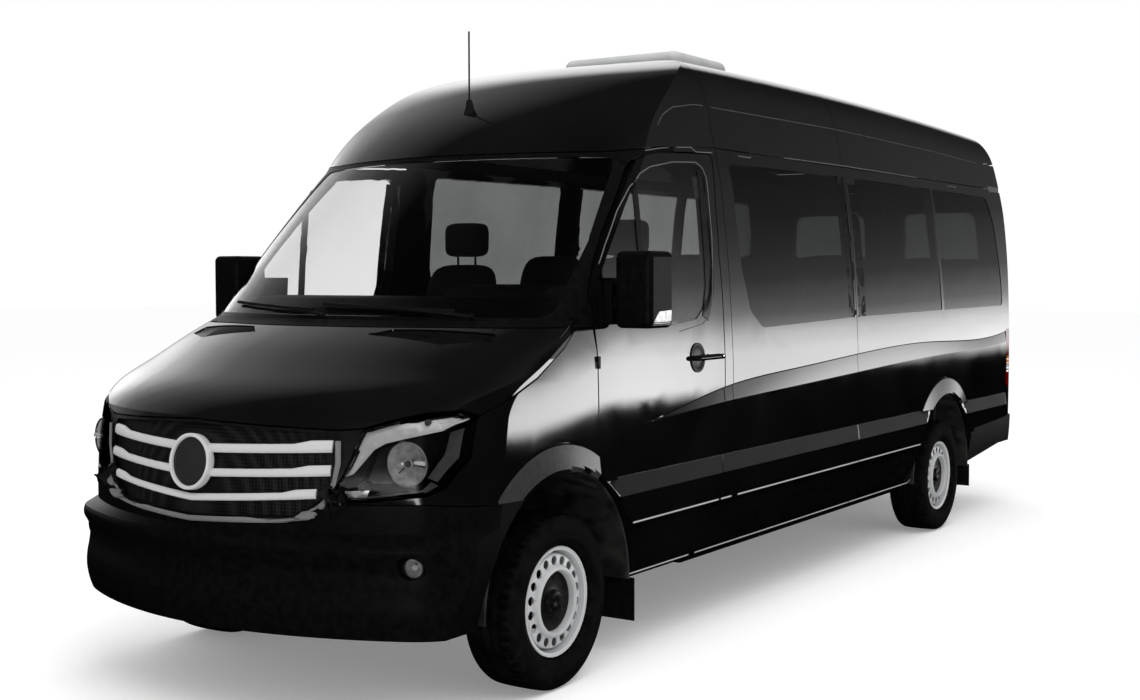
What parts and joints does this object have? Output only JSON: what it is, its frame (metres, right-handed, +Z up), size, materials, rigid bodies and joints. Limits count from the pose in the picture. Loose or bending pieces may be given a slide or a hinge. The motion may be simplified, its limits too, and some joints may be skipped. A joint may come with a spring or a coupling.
{
  "type": "minibus",
  "caption": "High-roof long-wheelbase passenger van with opening front doors, hood and rear doors, side windows, seats, steering front wheels and a roof air unit.",
  "frame": {"origin": "centre of the footprint of the overall box, on the ground under the tyres", "axes": "+X to the vehicle's left, +Y to its rear, +Z up"},
  "size_m": [2.426, 6.9447, 2.7749],
  "materials": {
    "body_paint": "gloss",
    "chassis": "satin",
    "black_trim": "matte",
    "bright_trim": "polished",
    "clear_lens": "gloss",
    "red_lens": "gloss",
    "tinted_glass": "gloss",
    "seat_cloth": "matte",
    "cast_metal": "matte",
    "steel": "satin",
    "rubber": "matte",
    "light_cover": "satin",
    "tyre": "matte",
    "wheel_metal": "satin"
  },
  "bodies": {
    "body": {"floor_pan": "chassis", "chassis_frame": "chassis", "wheelhouses": "black_trim", "roof_rails": "chassis", "side_panel_left_front": "body_paint", "side_panel_left_rear": "body_paint", "side_panel_right_rear": "body_paint", "post_right": "body_paint", "sliding_door": "body_paint", "windscreen_frame": "body_paint", "front_wings": "body_paint", "roof_front": "body_paint", "roof_middle": "body_paint", "roof_rear": "body_paint", "front_bumper": "body_paint", "rear_bumper": "body_paint", "grille": "body_paint", "grille_mesh": "black_trim", "grille_bars": "bright_trim", "headlamps": "clear_lens", "fog_lamps": "clear_lens", "tail_lamps": "red_lens", "windscreen": "tinted_glass", "side_windows_left": "tinted_glass", "side_windows_right": "tinted_glass", "dashboard": "black_trim", "front_seats": "seat_cloth", "passenger_seats": "seat_cloth", "engine": "cast_metal", "fuel_tank": "black_trim", "exhaust": "steel", "front_suspension": "cast_metal", "rear_axle": "cast_metal", "mudflaps": "rubber", "roof_air_unit": "light_cover", "antenna": "black_trim", "wipers": "black_trim"},
    "hood": {"hood": "body_paint"},
    "door_left": {"door_left": "body_paint", "door_window_left": "tinted_glass", "mirror_left": "black_trim"},
    "door_right": {"door_right": "body_paint", "door_window_right": "tinted_glass", "mirror_right": "black_trim"},
    "rear_door_left": {"rear_door_left": "body_paint", "rear_window_left": "tinted_glass"},
    "rear_door_right": {"rear_door_right": "body_paint", "rear_window_right": "tinted_glass"},
    "steering_wheel": {"steering_wheel": "black_trim"},
    "knuckle_left": {"knuckle_left": "cast_metal"},
    "knuckle_right": {"knuckle_right": "cast_metal"},
    "wheel_front_left": {"tyre_front_left": "tyre", "rim_front_left": "wheel_metal"},
    "wheel_rear_left": {"tyre_rear_left": "tyre", "rim_rear_left": "wheel_metal"},
    "wheel_front_right": {"tyre_front_right": "tyre", "rim_front_right": "wheel_metal"},
    "wheel_rear_right": {"tyre_rear_right": "tyre", "rim_rear_right": "wheel_metal"}
  },
  "joints": [
    {"name": "hood_hinge", "type": "hinge", "parent": "body", "child": "hood", "pos_m": [0, -2.3575, 1.443], "axis": [-1, 0, 0], "range_deg": [0, 50]},
    {"name": "door_left_hinge", "type": "hinge", "parent": "body", "child": "door_left", "pos_m": [0.9985, -2.2285, 1.1], "axis": [0, 0, -1], "range_deg": [0, 54]},
    {"name": "door_right_hinge", "type": "hinge", "parent": "body", "child": "door_right", "pos_m": [-0.9985, -2.2285, 1.1], "axis": [0, 0, 1], "range_deg": [0, 54]},
    {"name": "rear_door_left_hinge", "type": "hinge", "parent": "body", "child": "rear_door_left", "pos_m": [0.898, 3.3335, 1.25], "axis": [0, 0, -1], "range_deg": [0, 180]},
    {"name": "rear_door_right_hinge", "type": "hinge", "parent": "body", "child": "rear_door_right", "pos_m": [-0.898, 3.3335, 1.25], "axis": [0, 0, 1], "range_deg": [0, 180]},
    {"name": "steer_left", "type": "hinge", "parent": "body", "child": "knuckle_left", "pos_m": [0.76, -2.4575, 0.345], "axis": [0, 0, 1], "range_deg": [-38, 38]},
    {"name": "steer_right", "type": "hinge", "parent": "body", "child": "knuckle_right", "pos_m": [-0.76, -2.4575, 0.345], "axis": [0, 0, 1], "range_deg": [-38, 38]},
    {"name": "steering_wheel_turn", "type": "hinge", "parent": "body", "child": "steering_wheel", "pos_m": [0.44, -1.8375, 1.285], "axis": [0, 0.8805, 0.4741], "range_deg": [-532, 532]},
    {"name": "wheel_front_left_spin", "type": "hinge", "parent": "knuckle_left", "child": "wheel_front_left", "pos_m": [0.855, -2.4575, 0.345], "axis": [1, 0, 0], "continuous": true},
    {"name": "wheel_rear_left_spin", "type": "hinge", "parent": "body", "child": "wheel_rear_left", "pos_m": [0.858, 1.8675, 0.345], "axis": [1, 0, 0], "continuous": true},
    {"name": "wheel_front_right_spin", "type": "hinge", "parent": "knuckle_right", "child": "wheel_front_right", "pos_m": [-0.855, -2.4575, 0.345], "axis": [1, 0, 0], "continuous": true},
    {"name": "wheel_rear_right_spin", "type": "hinge", "parent": "body", "child": "wheel_rear_right", "pos_m": [-0.858, 1.8675, 0.345], "axis": [1, 0, 0], "continuous": true}
  ],
  "couplings": [
    {"joint": "steer_right", "follows": "steer_left", "ratio": 1},
    {"joint": "steering_wheel_turn", "follows": "steer_left", "ratio": 14}
  ]
}
